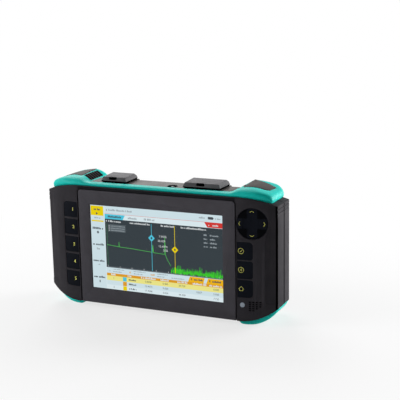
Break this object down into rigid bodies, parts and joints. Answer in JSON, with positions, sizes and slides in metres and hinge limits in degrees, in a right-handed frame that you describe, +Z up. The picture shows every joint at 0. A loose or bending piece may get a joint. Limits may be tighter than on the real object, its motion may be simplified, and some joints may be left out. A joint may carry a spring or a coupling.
{
  "type": "optical time domain reflectometer",
  "caption": "Hand-held fibre test instrument: tablet body with colour display, side keys, direction pad, rubber corner bumpers, capped ports on top and a fold-out stand.",
  "frame": {"origin": "middle of the width and depth, on the surface that the feet stand on", "axes": "+X to the right of somebody facing the screen, -Y out of the screen towards them, +Z up"},
  "size_m": [0.264, 0.066, 0.1437],
  "materials": {
    "housing": "fine moulded texture",
    "bezel": "satin",
    "screen_glass": "clear, hard coated",
    "display_module": "smooth",
    "pressed_steel": "zinc plated",
    "circuit_board": "solder mask",
    "keypad": "satin",
    "nylon": "plain moulding",
    "lens": "polished",
    "black_rubber": "matt",
    "steel": "plain",
    "teal_rubber": "soft touch",
    "insert": "fine moulded texture",
    "vent": "plain moulding",
    "deck": "fine moulded texture",
    "cap": "matt",
    "tray": "plain moulding",
    "power_dome": "polished",
    "cast_case": "cast",
    "fibre_jacket": "smooth",
    "nickel": "nickel plated"
  },
  "bodies": {
    "chassis": {"battery_cover": "housing", "battery_pack": "nylon", "bottom_bumper_left": "teal_rubber", "bottom_bumper_right": "teal_rubber", "bump_insert_left": "insert", "bump_insert_right": "insert", "cover_screws": "steel", "data_sockets": "steel", "data_tray": "tray", "display_bezel": "bezel", "display_glass": "screen_glass", "dpad_bracket": "pressed_steel", "fibre_leads": "fibre_jacket", "front_housing": "housing", "housing_gasket": "black_rubber", "housing_screws": "steel", "kickstand_pin": "steel", "lcd_frame": "pressed_steel", "lcd_module": "display_module", "left_cap_pin": "steel", "left_key_board": "circuit_board", "light_sensor_lens": "lens", "light_source_adapter": "nickel", "main_board": "circuit_board", "optical_module": "cast_case", "optical_tray": "tray", "otdr_adapter": "nickel", "port_board": "circuit_board", "port_deck": "deck", "power_ring": "keypad", "power_switch": "nylon", "rear_housing": "housing", "rear_pads": "black_rubber", "right_cap_pin": "steel", "right_key_board": "circuit_board", "speaker": "display_module", "top_bumper": "teal_rubber", "vent_comb_left": "vent", "vent_comb_right": "vent"},
    "key_1": {"key_1": "keypad"},
    "key_2": {"key_2": "keypad"},
    "key_3": {"key_3": "keypad"},
    "key_4": {"key_4": "keypad"},
    "key_5": {"key_5": "keypad"},
    "key_back": {"key_back": "keypad"},
    "key_home": {"key_home": "keypad"},
    "key_ok": {"key_ok": "keypad"},
    "power_key": {"power_key": "power_dome"},
    "dpad": {"dpad": "keypad"},
    "dpad_gimbal": {"dpad_gimbal": "nylon"},
    "left_port_cap": {"left_port_cap": "cap"},
    "right_port_cap": {"right_port_cap": "cap"},
    "kickstand": {"kickstand": "housing"}
  },
  "joints": [
    {"name": "key_1_press", "type": "slide", "parent": "chassis", "child": "key_1", "axis": [0, 1, 0], "range_m": [0, 0.0008], "stiffness_N_per_m": 1500},
    {"name": "key_2_press", "type": "slide", "parent": "chassis", "child": "key_2", "axis": [0, 1, 0], "range_m": [0, 0.0008], "stiffness_N_per_m": 1500},
    {"name": "key_3_press", "type": "slide", "parent": "chassis", "child": "key_3", "axis": [0, 1, 0], "range_m": [0, 0.0008], "stiffness_N_per_m": 1500},
    {"name": "key_4_press", "type": "slide", "parent": "chassis", "child": "key_4", "axis": [0, 1, 0], "range_m": [0, 0.0008], "stiffness_N_per_m": 1500},
    {"name": "key_5_press", "type": "slide", "parent": "chassis", "child": "key_5", "axis": [0, 1, 0], "range_m": [0, 0.0008], "stiffness_N_per_m": 1500},
    {"name": "key_back_press", "type": "slide", "parent": "chassis", "child": "key_back", "axis": [0, 1, 0], "range_m": [0, 0.0008], "stiffness_N_per_m": 1500},
    {"name": "key_home_press", "type": "slide", "parent": "chassis", "child": "key_home", "axis": [0, 1, 0], "range_m": [0, 0.0008], "stiffness_N_per_m": 1500},
    {"name": "key_ok_press", "type": "slide", "parent": "chassis", "child": "key_ok", "axis": [0, 1, 0], "range_m": [0, 0.0008], "stiffness_N_per_m": 1500},
    {"name": "power_key_press", "type": "slide", "parent": "chassis", "child": "power_key", "axis": [0, 0, -1], "range_m": [0, 0.0008], "stiffness_N_per_m": 1500},
    {"name": "dpad_left_right", "type": "hinge", "parent": "chassis", "child": "dpad_gimbal", "pos_m": [0.10603, -0.02315, 0.1079], "axis": [0, 0, 1], "range_deg": [-3, 3], "stiffness_Nm_per_rad": 0.5},
    {"name": "dpad_up_down", "type": "hinge", "parent": "dpad_gimbal", "child": "dpad", "pos_m": [0.10603, -0.02315, 0.1079], "axis": [0.9823, 0.1872, 0], "range_deg": [-3, 3], "stiffness_Nm_per_rad": 0.5},
    {"name": "left_cap_hinge", "type": "hinge", "parent": "chassis", "child": "left_port_cap", "pos_m": [-0.05325, 0.0096, 0.13442], "axis": [-1, 0, 0], "range_deg": [0, 110]},
    {"name": "right_cap_hinge", "type": "hinge", "parent": "chassis", "child": "right_port_cap", "pos_m": [0.04825, 0.0096, 0.13442], "axis": [-1, 0, 0], "range_deg": [0, 110]},
    {"name": "kickstand_hinge", "type": "hinge", "parent": "chassis", "child": "kickstand", "pos_m": [0, 0.0292, 0.0685], "axis": [1, 0, 0], "range_deg": [0, 50]}
  ]
}
